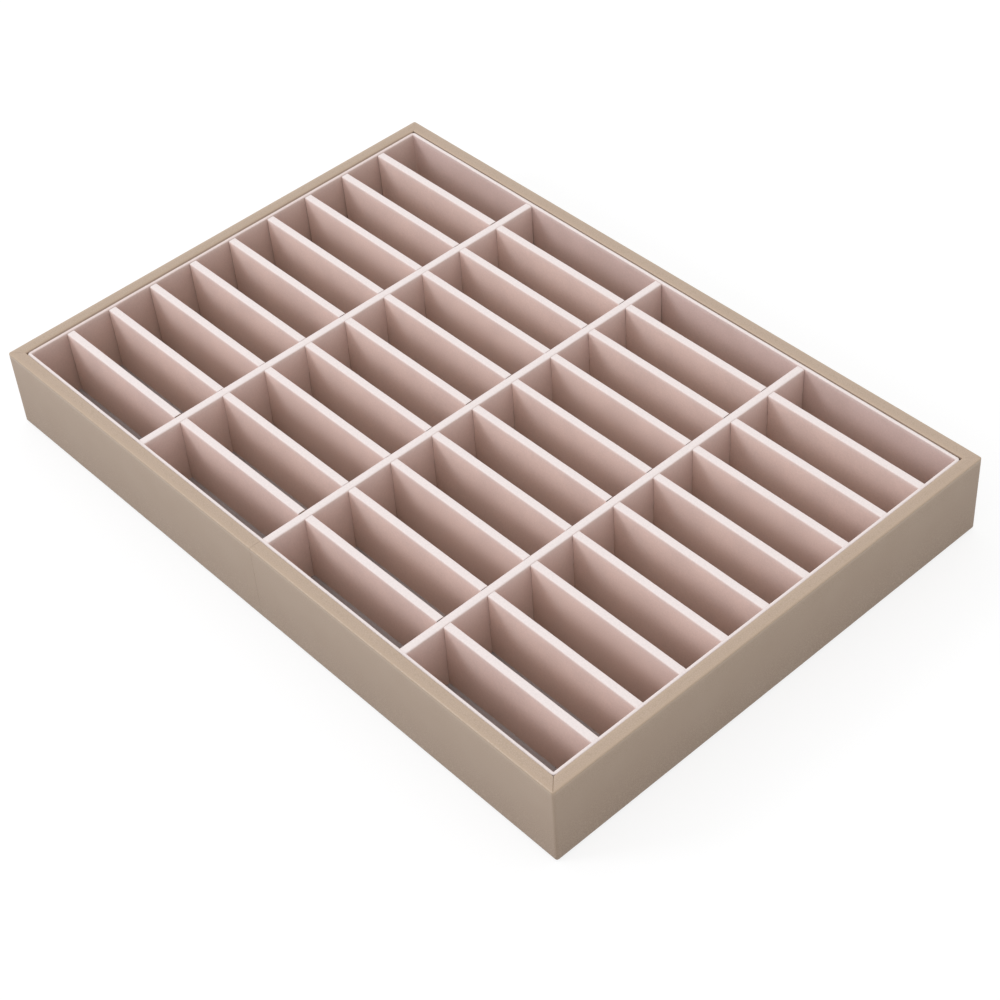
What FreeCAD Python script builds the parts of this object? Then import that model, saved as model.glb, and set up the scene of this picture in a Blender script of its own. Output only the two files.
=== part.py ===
"""Jewelry tray: a leatherette-wrapped board tray with an egg crate of velvet-covered dividers.

Millimetres, +Z up, origin under the middle of the base. +X runs along the front, +Y to the back.
"""
import FreeCAD, Part
import os
import re
import Sketcher
from FreeCAD import Placement, Rotation, Vector

# Driving sizes, one sheet cell each
SIZES = (
    # The whole tray, measured over the wrap
    ("tray_width", 365),
    ("tray_depth", 250),
    ("tray_height", 42),
    ("columns", 4),
    ("rows", 10),
    # Walls and base: a mitred board frame with the base let into a rabbet
    ("wall_board", 5),
    ("base_board", 4),
    ("rabbet", 2),
    ("panel_fit", 0.1),
    ("board_corner", 1.4),
    ("board_ease", 0.1),
    # Leatherette strip round the walls
    ("leatherette", 0.5),
    ("turn_in", 14),
    ("turn_under", 15),
    ("seam_place", -0.5),
    ("seam_gap", 0.1),
    # Felt under the base
    ("felt", 0.8),
    ("felt_inset", 3),
    ("felt_fit", 0.3),
    # Velvet lining on card
    ("velvet", 0.4),
    ("floor_card", 1.3),
    ("liner_card", 1),
    ("card_corner", 0.8),
    ("card_ease", 0.1),
    ("liner_fit", 0.3),
    ("liner_drop", 0.6),
    ("liner_turn", 8),
    # Dividers: velvet folded over a board, crossing in half laps
    ("divider_core", 3.2),
    ("core_ease", 0.1),
    ("divider_drop", 1.2),
    ("divider_fit", 0.4),
    ("lap_share", 0.5),
    ("lap_gap", 0.6),
    ("slot_fit", 0.2),
    ("slot_slack", 0.8),
    # How far a cut runs past the solid
    ("overrun", 1),
)

# Worked-out sizes and places, as formulas in those cells
RIM = "(wall_board + 2 * leatherette)"
BOARD_FOOT = "(felt + leatherette)"
BOARD_LENGTH = "(tray_width - 2 * leatherette)"
BOARD_BREADTH = "(tray_depth - 2 * leatherette)"
BOARD_HEIGHT = f"(tray_height - leatherette - {BOARD_FOOT})"
WRAP_HEIGHT = "(tray_height - felt)"
LINER = "(liner_card + 2 * velvet)"
LINER_LENGTH = f"(tray_width - 2 * ({RIM} + liner_fit))"
LINER_BREADTH = f"(tray_depth - 2 * ({RIM} + liner_fit))"
FLOOR_PAD = f"({BOARD_FOOT} + base_board)"
FLOOR = f"({FLOOR_PAD} + floor_card + velvet)"
LINER_HEIGHT = f"(tray_height - liner_drop - {FLOOR})"
WELL_LENGTH = f"({LINER_LENGTH} - 2 * {LINER})"
WELL_BREADTH = f"({LINER_BREADTH} - 2 * {LINER})"
DIVIDER = "(divider_core + 2 * velvet)"
DIVIDER_HEIGHT = f"(tray_height - divider_drop - {FLOOR})"
COLUMN_PITCH = f"(({WELL_LENGTH} + {DIVIDER}) / columns)"
ROW_PITCH = f"(({WELL_BREADTH} + {DIVIDER}) / rows)"
LAP = f"({DIVIDER_HEIGHT} * lap_share)"
# The radius of a skin of even thickness over an edge that is eased at 45 degrees
WRAP_EDGE = "(leatherette + board_ease * (1 + sqrt(2) / 2))"
LINER_EDGE = "(velvet + card_ease * (1 + sqrt(2) / 2))"
DIVIDER_EDGE = "(velvet + core_ease * (1 + sqrt(2) / 2))"

SIDES = ("front", "right", "back", "left")
QUARTER_TURN = 90
UP = Vector(0, 0, 1)
NEAR = 1e-4

document = FreeCAD.newDocument("JewelryTray")
sheet = document.addObject("Spreadsheet::Sheet", "Sizes")
pieces = []


# The sheet

def fill_sheet():
    """Write each driving size beside its name."""
    for row, (alias, number) in enumerate(SIZES, 1):
        sheet.set(f"A{row}", alias)
        sheet.set(f"B{row}", str(number))
        sheet.setAlias(f"B{row}", alias)
    document.recompute()


def cells(formula):
    """The formula with each alias spelled as a cell of the sheet."""
    return re.sub(r"[a-z_]+\b(?!\()", r"Sizes.\g<0>", formula)


def size(formula):
    """What a formula comes to now."""
    return float(sheet.evalExpression(cells(formula)))


def bind(thing, **formulas):
    """Tie properties to formulas. Two underscores stand for the dot in a property's path."""
    for path, formula in formulas.items():
        thing.setExpression(path.replace("__", "."), cells(formula))


def keep(thing, label):
    """Count an object as a piece of the tray, under its own name."""
    thing.Label = label
    pieces.append(thing)


# Sketches

def new_body(name, foot, turn=0):
    """A body that stands at a height and is turned about Z."""
    body = document.addObject("PartDesign::Body", name)
    body.Placement = Placement(Vector(), Rotation(UP, turn))
    bind(body, Placement__Base__z=foot)
    return body


def sketch_on(body, plane, lift="0"):
    """An empty sketch on one of the body's own planes, lifted along its normal."""
    sketch = body.newObject("Sketcher::SketchObject", body.Name + "_sketch")
    supports = [feature for feature in body.Origin.OriginFeatures if feature.Role == plane]
    sketch.AttachmentSupport = [(supports[0], "")]
    sketch.MapMode = "FlatFace"
    bind(sketch, AttachmentOffset__Base__z=lift)
    return sketch


def outline(sketch, *corners):
    """Add a closed outline of straight lines, with each corner held at two formulas."""
    places = [Vector(size(x), size(y)) for x, y in corners]
    first, count = sketch.GeometryCount, len(corners)
    for number, place in enumerate(places):
        sketch.addGeometry(Part.LineSegment(places[number - 1], place))
    for number, corner in enumerate(corners):
        line, following = first + number, first + (number + 1) % count
        sketch.addConstraint(Sketcher.Constraint("Coincident", line, 2, following, 1))
        for way, formula in zip(("DistanceX", "DistanceY"), corner):
            hold = sketch.addConstraint(Sketcher.Constraint(way, -1, 1, line, 2, size(formula)))
            sketch.setExpression(f"Constraints[{hold}]", cells(formula))
    return sketch


def rectangle(sketch, west, south, east, north):
    """A rectangle between four formulas."""
    return outline(sketch, (west, south), (east, south), (east, north), (west, north))


def centred(sketch, length, breadth):
    """A rectangle about the origin."""
    return rectangle(sketch, f"-{length} / 2", f"-{breadth} / 2", f"{length} / 2", f"{breadth} / 2")


# Features

def pad(body, sketch, height, side="One side"):
    """Raise a sketch."""
    feature = body.newObject("PartDesign::Pad", body.Name + "_pad")
    feature.Profile = sketch
    feature.SideType = side
    bind(feature, Length=height)
    document.recompute()


def pocket(body, sketch, depth, upward=False, side="One side"):
    """Cut a sketch into the body, and make sure that it cut something."""
    before = body.Shape.Volume
    feature = body.newObject("PartDesign::Pocket", body.Name + "_pocket")
    feature.Profile = sketch
    feature.SideType = side
    feature.Reversed = upward
    bind(feature, Length=depth)
    document.recompute()
    if before - body.Shape.Volume < NEAR:
        raise RuntimeError(f"{feature.Name} cuts nothing")
    return feature


def dress(body, kind, wanted, **formulas):
    """Give the edges that a test picks out a fillet or a chamfer."""
    base = body.Tip
    names = [f"Edge{number}" for number, edge in enumerate(base.Shape.Edges, 1) if wanted(edge)]
    feature = body.newObject(f"PartDesign::{kind}", f"{body.Name}_{kind}")
    feature.Base = (base, names)
    bind(feature, **formulas)
    document.recompute()


def fillet(body, radius, wanted):
    """Round edges."""
    dress(body, "Fillet", wanted, Radius=radius)


def ease(body, width, wanted):
    """Take the sharpness off edges, as on a board before it is covered."""
    dress(body, "Chamfer", wanted, Size=width)


def upright(edge):
    """True for an edge along Z."""
    return edge.BoundBox.ZLength > NEAR > max(edge.BoundBox.XLength, edge.BoundBox.YLength)


def level(edge, height):
    """True for an edge that lies at one height."""
    return all(abs(vertex.Z - height) < NEAR for vertex in edge.Vertexes)


def sawn(edge):
    """True for a straight edge that runs neither along X nor along Y, as at a mitre."""
    box = edge.BoundBox
    return edge.Curve.TypeId == "Part::GeomLine" and min(box.XLength, box.YLength) > NEAR


def along_top(height):
    """A test for the edges along the top of a mitred board."""
    top = size(height)
    return lambda edge: level(edge, top) and not sawn(edge)


def cover(name, blank, core):
    """What is left of a covered board when the board is taken out of it."""
    skin = document.addObject("Part::Cut", name)
    skin.Base = blank
    skin.Tool = core
    document.recompute()
    keep(skin, name)


# Boards that run round the tray

def mitred_board(name, turn, length, breadth, thickness, foot, height, corner):
    """One side of a frame: a plank with its two outer corners rounded and its ends sawn at 45 degrees."""
    body = new_body(name, foot, turn)
    outer = f"-{breadth} / 2"
    inner = f"({outer} + {thickness})"
    plank = rectangle(sketch_on(body, "XY_Plane"), f"-{length} / 2", outer, f"{length} / 2", inner)
    pad(body, plank, height)
    outer_face = size(outer)
    fillet(body, corner, lambda edge: upright(edge) and edge.BoundBox.YMax < outer_face + NEAR)
    mitres = sketch_on(body, "XY_Plane")
    for end in ("-1", "1"):
        tip = f"{end} * ({length} / 2 + overrun)"
        heel = f"{end} * ({length} / 2 - {thickness} - overrun)"
        outline(mitres, (tip, f"{outer} - overrun"), (tip, f"{inner} + overrun"), (heel, f"{inner} + overrun"))
    pocket(body, mitres, f"{height} + overrun", upward=True)
    return body


def four_sides(make, length, breadth):
    """Make a board for each side of a frame, with its outer length and the frame's other size."""
    return [
        make(side, number * QUARTER_TURN, *((length, breadth), (breadth, length))[number % 2])
        for number, side in enumerate(SIDES)
    ]


# Carcass

def wall(side, turn, length, breadth):
    """A wall board, with a rabbet along its foot for the base."""
    body = mitred_board(
        f"{side}_wall", turn, length, breadth, "wall_board", BOARD_FOOT, BOARD_HEIGHT, "board_corner"
    )
    ease(body, "board_ease", along_top(BOARD_HEIGHT))
    shoulder = f"(wall_board - rabbet - {breadth} / 2)"
    outside = size(shoulder)
    along_foot = along_top("0")
    ease(body, "board_ease", lambda edge: along_foot(edge) and edge.BoundBox.YMax < outside)
    groove = sketch_on(body, "XY_Plane")
    rectangle(groove, f"-{length} / 2", shoulder, f"{length} / 2", f"{shoulder} + rabbet + overrun")
    pocket(body, groove, "base_board", upward=True)
    keep(body, f"{side}_wall")
    return body


def base_panel():
    """The bottom board, in the walls' rabbets."""
    body = new_body("base_panel", BOARD_FOOT)
    inset = "(leatherette + wall_board - rabbet + panel_fit)"
    plan = sketch_on(body, "XY_Plane")
    centred(plan, f"(tray_width - 2 * {inset})", f"(tray_depth - 2 * {inset})")
    pad(body, plan, "base_board")
    keep(body, "base_panel")


def wrap_cuts(sketch):
    """The slits in the strip's turnings at the four corners, and the seam where its ends meet."""
    start = "(board_corner + leatherette - board_corner * sqrt(2) / 2)"
    end = "(turn_under + overrun)"
    half = "seam_gap * sqrt(2) / 4"
    for across in ("-1", "1"):
        for along in ("-1", "1"):
            outline(
                sketch,
                *(
                    (
                        f"{across} * (tray_width / 2 - {inset} + {lean} * {half})",
                        f"{along} * (tray_depth / 2 - {inset} - {lean} * {half})",
                    )
                    for inset, lean in ((start, "-1"), (start, "1"), (end, "1"), (end, "-1"))
                ),
            )
    front = "-tray_depth / 2"
    west, east = "seam_place - seam_gap / 2", "seam_place + seam_gap / 2"
    rectangle(sketch, west, f"{front} - overrun", east, f"{front} + {end}")
    return sketch


def outer_wrap(walls):
    """The leatherette strip: up the outside, over the rim, down inside and under the base."""
    body = new_body("wrap_block", "felt")
    pad(body, centred(sketch_on(body, "XY_Plane"), "tray_width", "tray_depth"), WRAP_HEIGHT)
    fillet(body, "board_corner + leatherette", upright)
    well = sketch_on(body, "XY_Plane", WRAP_HEIGHT)
    centred(well, f"(tray_width - 2 * {RIM})", f"(tray_depth - 2 * {RIM})")
    pocket(body, well, f"{WRAP_HEIGHT} - leatherette")
    top = size(WRAP_HEIGHT)
    fillet(body, WRAP_EDGE, lambda edge: level(edge, top) or level(edge, 0))
    bare_wall = sketch_on(body, "XY_Plane", "leatherette")
    inside = "(wall_board + leatherette)"
    centred(bare_wall, f"(tray_width - 2 * {inside})", f"(tray_depth - 2 * {inside})")
    pocket(body, bare_wall, f"{WRAP_HEIGHT} - leatherette - turn_in", upward=True)
    base_room = sketch_on(body, "XY_Plane", "leatherette")
    centred(base_room, f"(tray_width - 2 * ({inside} - rabbet))", f"(tray_depth - 2 * ({inside} - rabbet))")
    pocket(body, base_room, "base_board", upward=True)
    bare_base = sketch_on(body, "XY_Plane")
    centred(bare_base, "(tray_width - 2 * turn_under)", "(tray_depth - 2 * turn_under)")
    pocket(body, bare_base, "leatherette + overrun", upward=True)
    pocket(body, wrap_cuts(sketch_on(body, "XY_Plane")), f"{WRAP_HEIGHT} + overrun", upward=True)
    frame = document.addObject("Part::MultiFuse", "wall_frame")
    frame.Shapes = walls
    cover("outer_wrap", body, frame)


def base_felt():
    """The felt under the tray, thicker inside the turned-under wrap, where it meets the base."""
    body = new_body("base_felt", "0")
    sheet_plan = sketch_on(body, "XY_Plane")
    centred(sheet_plan, "(tray_width - 2 * felt_inset)", "(tray_depth - 2 * felt_inset)")
    pad(body, sheet_plan, "felt")
    fillet(body, "board_corner", upright)
    middle = sketch_on(body, "XY_Plane", "felt")
    inset = "(turn_under + felt_fit)"
    centred(middle, f"(tray_width - 2 * {inset})", f"(tray_depth - 2 * {inset})")
    pad(body, middle, "leatherette")
    keep(body, "base_felt")


# Lining

def floor_pad():
    """A card on the base, with velvet over its top and edges."""
    card_length, card_breadth = f"({LINER_LENGTH} - 2 * velvet)", f"({LINER_BREADTH} - 2 * velvet)"
    card = new_body("floor_card", FLOOR_PAD)
    pad(card, centred(sketch_on(card, "XY_Plane"), card_length, card_breadth), "floor_card")
    keep(card, "floor_card")
    blank = new_body("floor_blank", FLOOR_PAD)
    pad(blank, centred(sketch_on(blank, "XY_Plane"), LINER_LENGTH, LINER_BREADTH), "floor_card + velvet")
    cover("floor_velvet", blank, card)


def liner(side, turn, length, breadth):
    """A card against the wall, with velvet over its face and top and a little way down its back."""
    card = mitred_board(
        f"{side}_liner_card",
        turn,
        f"({length} - 2 * velvet)",
        f"({breadth} - 2 * velvet)",
        "liner_card",
        FLOOR,
        f"({LINER_HEIGHT} - velvet)",
        "card_corner",
    )
    ease(card, "card_ease", along_top(f"{LINER_HEIGHT} - velvet"))
    keep(card, f"{side}_liner_card")
    blank = mitred_board(
        f"{side}_liner_blank", turn, length, breadth, LINER, FLOOR, LINER_HEIGHT, "card_corner + velvet"
    )
    fillet(blank, LINER_EDGE, along_top(LINER_HEIGHT))
    bare_back = sketch_on(blank, "XY_Plane")
    back = f"-{breadth} / 2"
    rectangle(bare_back, f"-{length} / 2", f"{back} - overrun", f"{length} / 2", f"{back} + velvet")
    pocket(blank, bare_back, f"{LINER_HEIGHT} - liner_turn", upward=True)
    cover(f"{side}_liner_velvet", blank, card)


# Dividers

def slotted_strip(name, turn, place, length, thickness, height, edges, slot):
    """A strip on edge along X with finished top edges and a row of slots from its top or its foot."""
    body = new_body(name, FLOOR, turn)
    bind(body, **place)
    face = sketch_on(body, "XZ_Plane")
    pad(body, rectangle(face, f"-{length} / 2", "0", f"{length} / 2", height), thickness, "Symmetric")
    top = size(height)
    dress(body, wanted=lambda edge: level(edge, top) and edge.BoundBox.YLength < NEAR, **edges)
    notch = rectangle(sketch_on(body, "XZ_Plane"), slot["west"], slot["low"], slot["east"], slot["high"])
    first = pocket(body, notch, f"{thickness} + 2 * overrun", side="Symmetric")
    row = body.newObject("PartDesign::LinearPattern", name + "_slots")
    row.Originals = [first]
    row.Direction = (notch, ["H_Axis"])
    row.Mode = "Spacing"
    bind(row, Offset=slot["pitch"], Occurrences=slot["count"])
    body.Tip = row
    document.recompute()
    return body


def divider(name, turn, place, length, slot):
    """A board with velvet folded over it, slotted through both."""
    eased = {"kind": "Chamfer", "Size": "core_ease"}
    core_height = f"({DIVIDER_HEIGHT} - velvet)"
    core = slotted_strip(name + "_core", turn, place, length, "divider_core", core_height, eased, slot)
    keep(core, name + "_core")
    rounded = {"kind": "Fillet", "Radius": DIVIDER_EDGE}
    blank = slotted_strip(name + "_blank", turn, place, length, DIVIDER, DIVIDER_HEIGHT, rounded, slot)
    cover(name + "_velvet", blank, core)


def cross_dividers():
    """The dividers from left to right, slotted from above. Their slots' slack lies to the left."""
    first = f"(1 - columns / 2) * {COLUMN_PITCH}"
    slot = {
        "west": f"{first} - {DIVIDER} / 2 - slot_slack",
        "east": f"{first} + {DIVIDER} / 2 + slot_fit",
        "low": f"{LAP} - lap_gap / 2",
        "high": f"{DIVIDER_HEIGHT} + overrun",
        "pitch": COLUMN_PITCH,
        "count": "columns - 1",
    }
    for number in range(1, int(size("rows"))):
        place = {"Placement__Base__y": f"({number} - rows / 2) * {ROW_PITCH}"}
        divider(f"cross_divider_{number}", 0, place, f"({WELL_LENGTH} - 2 * divider_fit)", slot)


def long_dividers():
    """The dividers from front to back, slotted from below, so that they pass over the others."""
    first = f"(1 - rows / 2) * {ROW_PITCH}"
    slot = {
        "west": f"{first} - {DIVIDER} / 2 - slot_fit",
        "east": f"{first} + {DIVIDER} / 2 + slot_fit",
        "low": "-overrun",
        "high": f"{LAP} + lap_gap / 2",
        "pitch": ROW_PITCH,
        "count": "rows - 1",
    }
    for number in range(1, int(size("columns"))):
        place = {"Placement__Base__x": f"({number} - columns / 2) * {COLUMN_PITCH}"}
        divider(
            f"long_divider_{number}", QUARTER_TURN, place, f"({WELL_BREADTH} - 2 * divider_fit)", slot
        )


# The file for each piece

def write_pieces():
    """Check every object, then write each piece to its own STEP file."""
    for thing in document.Objects:
        if "Invalid" in thing.State or "Error" in thing.State:
            raise RuntimeError(f"{thing.Name} did not build: {thing.State}")
    for piece in pieces:
        if piece.Shape.isNull() or not piece.Shape.isValid() or len(piece.Shape.Solids) != 1:
            raise RuntimeError(f"{piece.Label} is not one sound solid")
    os.makedirs("parts", exist_ok=True)
    for piece in pieces:
        piece.Shape.exportStep(f"parts/{piece.Label}.step")
    print(len(pieces), "pieces")


fill_sheet()
base_panel()
outer_wrap(four_sides(wall, BOARD_LENGTH, BOARD_BREADTH))
base_felt()
floor_pad()
four_sides(liner, LINER_LENGTH, LINER_BREADTH)
cross_dividers()
long_dividers()
write_pieces()
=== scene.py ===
"""Looks for a jewelry tray: a leatherette-wrapped board tray with an egg crate of velvet-covered dividers.

Metres, in the frame of the packed model: +X along the front, +Y to the back, +Z up, origin under the base.
"""
import math

import bmesh
import bpy
import numpy as np
from bpy.props import FloatProperty, FloatVectorProperty, PointerProperty
from mathutils import Matrix, Vector, noise


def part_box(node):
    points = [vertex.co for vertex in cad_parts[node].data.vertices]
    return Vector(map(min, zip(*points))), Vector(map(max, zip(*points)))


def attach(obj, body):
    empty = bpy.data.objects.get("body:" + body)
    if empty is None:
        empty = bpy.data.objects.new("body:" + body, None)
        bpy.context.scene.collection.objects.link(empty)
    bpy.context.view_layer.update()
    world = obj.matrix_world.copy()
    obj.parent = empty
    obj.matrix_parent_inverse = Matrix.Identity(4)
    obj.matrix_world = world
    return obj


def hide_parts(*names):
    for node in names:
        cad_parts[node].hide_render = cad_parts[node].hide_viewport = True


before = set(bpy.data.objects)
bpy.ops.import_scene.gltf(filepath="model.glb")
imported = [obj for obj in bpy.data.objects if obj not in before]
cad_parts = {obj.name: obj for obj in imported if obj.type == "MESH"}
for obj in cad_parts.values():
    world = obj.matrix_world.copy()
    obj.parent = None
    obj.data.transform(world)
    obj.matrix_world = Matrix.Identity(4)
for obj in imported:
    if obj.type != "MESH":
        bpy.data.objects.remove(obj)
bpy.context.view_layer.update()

bl_info = {
    "name": "Jewelry tray",
    "version": (1, 0, 0),
    "blender": (4, 5, 0),
    "location": "View3D > Sidebar > Tray",
    "description": "Dresses a board tray in leatherette and velvet, and sets it on a studio stage",
    "category": "Object",
}

MM = 0.001
SIDES = ("front", "right", "back", "left")
COLUMN_DIVIDERS = 3
ROW_DIVIDERS = 9

# Sizes read from the frame
wrap_low, wrap_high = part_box("outer_wrap")
wall_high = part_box("front_wall")[1]
liner_low, liner_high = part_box("front_liner_velvet")
card_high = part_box("front_liner_card")[1]
LEATHERETTE = wrap_high.z - wall_high.z
RIM = wall_high.y - wrap_low.y + LEATHERETTE
VELVET = liner_high.z - card_high.z
LINER = liner_high.y - liner_low.y

# How finely the meshes are drawn
ROLL_STEPS = 6
RUN_STEP = 5 * MM
FINE_STEP = 2 * MM
FLOOR_SEGMENTS = 96
WELD = 1e-6
SHARP = math.radians(40)

# The part of a side next to a corner, and its stations, which crowd towards the corner
CORNER_REACH = 20 * MM
CORNER_STEPS = 18
CORNER_CROWDING = 1.8
CORNER_SHARES = tuple((step / CORNER_STEPS) ** CORNER_CROWDING for step in range(CORNER_STEPS))

# Wavelengths of the unevenness in glued cloth, and its seed, so that each run gives the same shapes
WRAP_WAVE = 25 * MM
VELVET_WAVE = 14 * MM
FLOOR_WAVE = 12 * MM
SEED = 7

# How much of each slot's slack lies open at the left of a long divider: a row for each long divider,
# from the left, with a share for each cross divider, from the front
SLACK_SHARES = (
    (0.65, 0, 0, 0, 0.3, 0.1, 0, 0.2, 0.45),
    (0.7, 0, 0, 0.2, 0.5, 0.3, 0, 0.15, 0.2),
    (0.4, 0.2, 0, 0, 0.4, 0.25, 0.2, 0.35, 0.22),
)

# Share of the painted highlight on top of each liner, from the front round by the right; the left one's is
# weaker, as painted shade
PAINTED_HIGHLIGHT_SHARES = (1, 1, 1, 0.6)

# How wide the mitre slits are, as shares of the set width, from the front left corner round by the right
SLIT_SHARES = (1, 1.8, 0.4, 0.4)

# The point attribute that says how far a cloth is bent open, which on the velvets is the share of their
# painted highlight near the top, or, below nought, the share of painted shade on the wrap's turning inside
# the rim
FOLD = "fold"

# Leatherette: share of a pebble that is crease, least and most roughness, roughness over an edge, relief
CREASE_WIDTH = 0.16
FACE_ROUGHNESS = (0.46, 0.58)
EDGE_ROUGHNESS = 0.22
GRAIN_DEPTH = 0.04 * MM

# Cut edges: width of a thread, and how bright it is between the threads
THREAD = 0.4 * MM
THREAD_SHADE = 0.7

# Velvet: noise levels where brushed patches begin and end, their strength, the tufts' tones and relief
PATCH_LIMITS = (0.35, 0.65)
PATCH_STRENGTH = 0.4
SPECKLE = (0.87, 1.13)
PILE_DEPTH = 0.15 * MM

# Boards and felt: relief of the fibres
FIBRE_DEPTH = 0.1 * MM

WHITE = (1, 1, 1, 1)


# Settings

def linear(code):
    """Linear RGBA of an sRGB hex colour."""
    channels = [int(code[place:place + 2], 16) / 255 for place in (1, 3, 5)]
    return (*(c / 12.92 if c <= 0.04045 else ((c + 0.055) / 1.055) ** 2.4 for c in channels), 1.0)


def colour(name, description, code):
    """A colour that a user can change."""
    return FloatVectorProperty(
        name=name, description=description, default=linear(code), size=4, subtype="COLOR", min=0, max=1
    )


def length(name, description, millimetres):
    """A length that a user can change."""
    return FloatProperty(
        name=name, description=description, default=millimetres * MM, unit="LENGTH", precision=5
    )


def number(name, description, default):
    """A plain number that a user can change."""
    return FloatProperty(name=name, description=description, default=default)


def angle(name, description, degrees):
    """An angle that a user can change."""
    return FloatProperty(name=name, description=description, default=math.radians(degrees), subtype="ANGLE")


class TrayWrapSettings(bpy.types.PropertyGroup):
    """The leatherette round the walls."""

    face: colour("Leatherette", "Colour of the wrap", "#BCA794")
    mottle: colour("Mottle", "Darker tone that drifts across the wrap", "#B59F8C")
    # Painted shade: the wrap darkens towards this colour at its foot, standing in for shadow near the table
    foot: colour("Dulled foot", "Colour of the wrap near the table, where it is scuffed dull", "#9A8473")
    crease: colour("Crease", "Colour in the creases of the grain", "#AE9985")
    edge: colour("Stretched edge", "Colour where the wrap is pulled over an edge", "#BBA48D")
    # Painted shade: the dark line where the wrap turns in behind the lining, in the crease between rim and
    # liner
    turning: colour("Turning", "Colour of the turning inside the rim, dulled by glue", "#A08B78")
    cut: colour("Cut edge", "Colour of the backing where the wrap is cut", "#8A745F")
    grain: length("Grain", "Width of one pebble of the embossed grain", 0.9)
    mottle_size: length("Mottle size", "Width of a patch of mottle", 18)
    turn_in: length("Turn-in", "How far the wrap goes down inside the walls", 14)
    turn_under: length("Turn-under", "How far the wrap goes under the base", 15)
    roll: length("Edge radius", "Radius of the wrap over the walls' edges", 0.52)
    crown: length("Crown", "How far the rim falls at its edges", 0.15)
    crown_reach: length("Crown reach", "How far in from its edges the rim falls", 1.2)
    slump: length("Left slump", "Radius of the left rim's inner edge, where the wrap is slack", 1.6)
    slump_reach: length("Slump reach", "How far from the inner edge the slack wrap can reach", 1.9)
    # Where below the rim the painted shade on the turning begins, and how far down it takes to darken fully
    painted_shade_start: length("Dull start", "How far below the rim the turning begins to dull", 0.2)
    painted_shade_reach: length("Dull reach", "How far down the turning takes to dull", 0.35)
    lean: length("Front lean", "How far the front leans in at the rim", 0.4)
    corner: length("Corner radius", "Radius of the upright corners", 1.1)
    slit: length("Mitre slit", "Width of the cut in the turnings at each corner", 0.1)
    slit_start: length("Slit start", "How far in from the faces the mitre cuts begin", 0.5)
    seam_place: length("Seam place", "Where the strip's ends meet along the front", -0.5)
    seam: length("Seam gap", "Gap between the strip's ends", 0.1)
    unevenness: length("Unevenness", "How far the glued wrap wanders from true", 0.04)


class TrayVelvetSettings(bpy.types.PropertyGroup):
    """The velvet on the liners, the dividers and the floor."""

    face: colour("Velvet", "Colour of the flat pile on the dividers", "#EAD1C7")
    # Painted shade on the faces that face along X; this tone also marks the brushed patches, at random
    nap_and_shade: colour("Brushed nap", "Tone of the dividers' pile brushed or seen the other way", "#D9C1B9")
    # Painted shade: the pile darkens down towards this colour at the foot, deep between the dividers
    foot: colour("Pressed pile", "Colour of the pile at the foot, where no hand brushes it up", "#D4BBAD")
    # Painted highlight: the pale line on the lit tops of the liners and dividers
    fold: colour("Folded pile", "Colour where the pile fans open over a fold", "#EADFDC")
    liner: colour("Liner velvet", "Colour of the flat pile on the liners", "#DBC3BC")
    # Painted shade on the liners' faces that face along X; this tone also marks their brushed patches, at
    # random
    liner_nap_and_shade: colour("Liner nap", "Tone of the liners' pile brushed or seen the other way", "#CCB4AB")
    floor: colour("Floor velvet", "Colour of the floor's pile", "#B5AEAD")
    floor_nap: colour("Floor nap", "Tone of the floor's pile brushed the other way", "#ABA3A2")
    backing: colour("Backing", "Colour of the cloth where it is cut", "#E8D9C4")
    pile: length("Pile", "Width of one tuft of pile as drawn", 0.8)
    nap_size: length("Nap size", "Width of a brushed patch", 22)
    fold_radius: length("Divider edge radius", "Radius of the velvet over a divider's edges", 0.57)
    rise: length("Divider rise", "How far the pile stands up over the top of a divider", 0.2)
    # How far below the top the painted highlight reaches
    painted_highlight_reach: length("Fold reach", "How far below the top the folded pile shows", 0.8)
    liner_radius: length("Liner edge radius", "Radius of the velvet over a liner's edges", 0.57)
    liner_corner: length("Liner corner radius", "Radius of the liner's outer corners", 2)
    liner_front: length("Front liner", "How far the front liner sits out from true", -0.1)
    liner_right: length("Right liner", "How far the right liner sits out from true", 0.2)
    liner_back: length("Back liner", "How far the back liner sits out from true", 0.15)
    liner_left: length("Left liner", "How far the left liner sits out from true", 0.2)
    liner_dip: length("Liner dip", "How much lower the lining's top is at the right than at the left", 0.2)
    # Height up to which the painted shade of the pile reaches
    painted_shade_height: length("Foot height", "How high above the base the pressed pile reaches", 37)
    liner_turn: length("Liner turn", "How far the velvet goes down behind a liner", 8)
    end_set: length("End set", "How far a divider's ends stand in at the foot", 0.3)
    end_nip: length("End nip", "How far a divider's pile presses into the front and right liners", 0.1)
    end_gap: length("End gap", "Gap between a divider's top and the back and left liners", 0.2)
    slot_fit: length("Slot fit", "Gap beside a divider in its slot", 0.2)
    slot_slack: length("Slot slack", "Gap at the left of a long divider in its slot", 0.8)
    slot_nip: length("Slot nip", "Least gap between a slot's velvet and the divider in it", 0.06)
    lap_gap: length("Lap gap", "Gap between the floors of two slots that cross", 0.6)
    unevenness: length("Unevenness", "How far the glued velvet wanders from true", 0.06)


class TrayBoardSettings(bpy.types.PropertyGroup):
    """The boards and cards under the coverings, and the felt under the base."""

    mdf: colour("MDF", "Colour of the sawn fibreboard", "#C09C74")
    mdf_fibre: colour("MDF fibre", "Colour of its darker fibres", "#99744E")
    card: colour("Greyboard", "Colour of the liner and floor cards", "#A89C8B")
    card_fleck: colour("Card fleck", "Colour of the flecks in the card", "#7F7466")
    felt: colour("Felt", "Colour of the felt under the base", "#8C7C70")
    felt_fibre: colour("Felt fibre", "Colour of its paler fibres", "#A39387")
    fibre: length("Fibre", "Width of a fibre as drawn", 0.35)
    felt_corner: length("Felt corner radius", "Radius of the felt's corners", 1.4)
    felt_slope: length("Felt slope", "Width of the slope where the felt dips off the turned-under wrap", 3)


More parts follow.
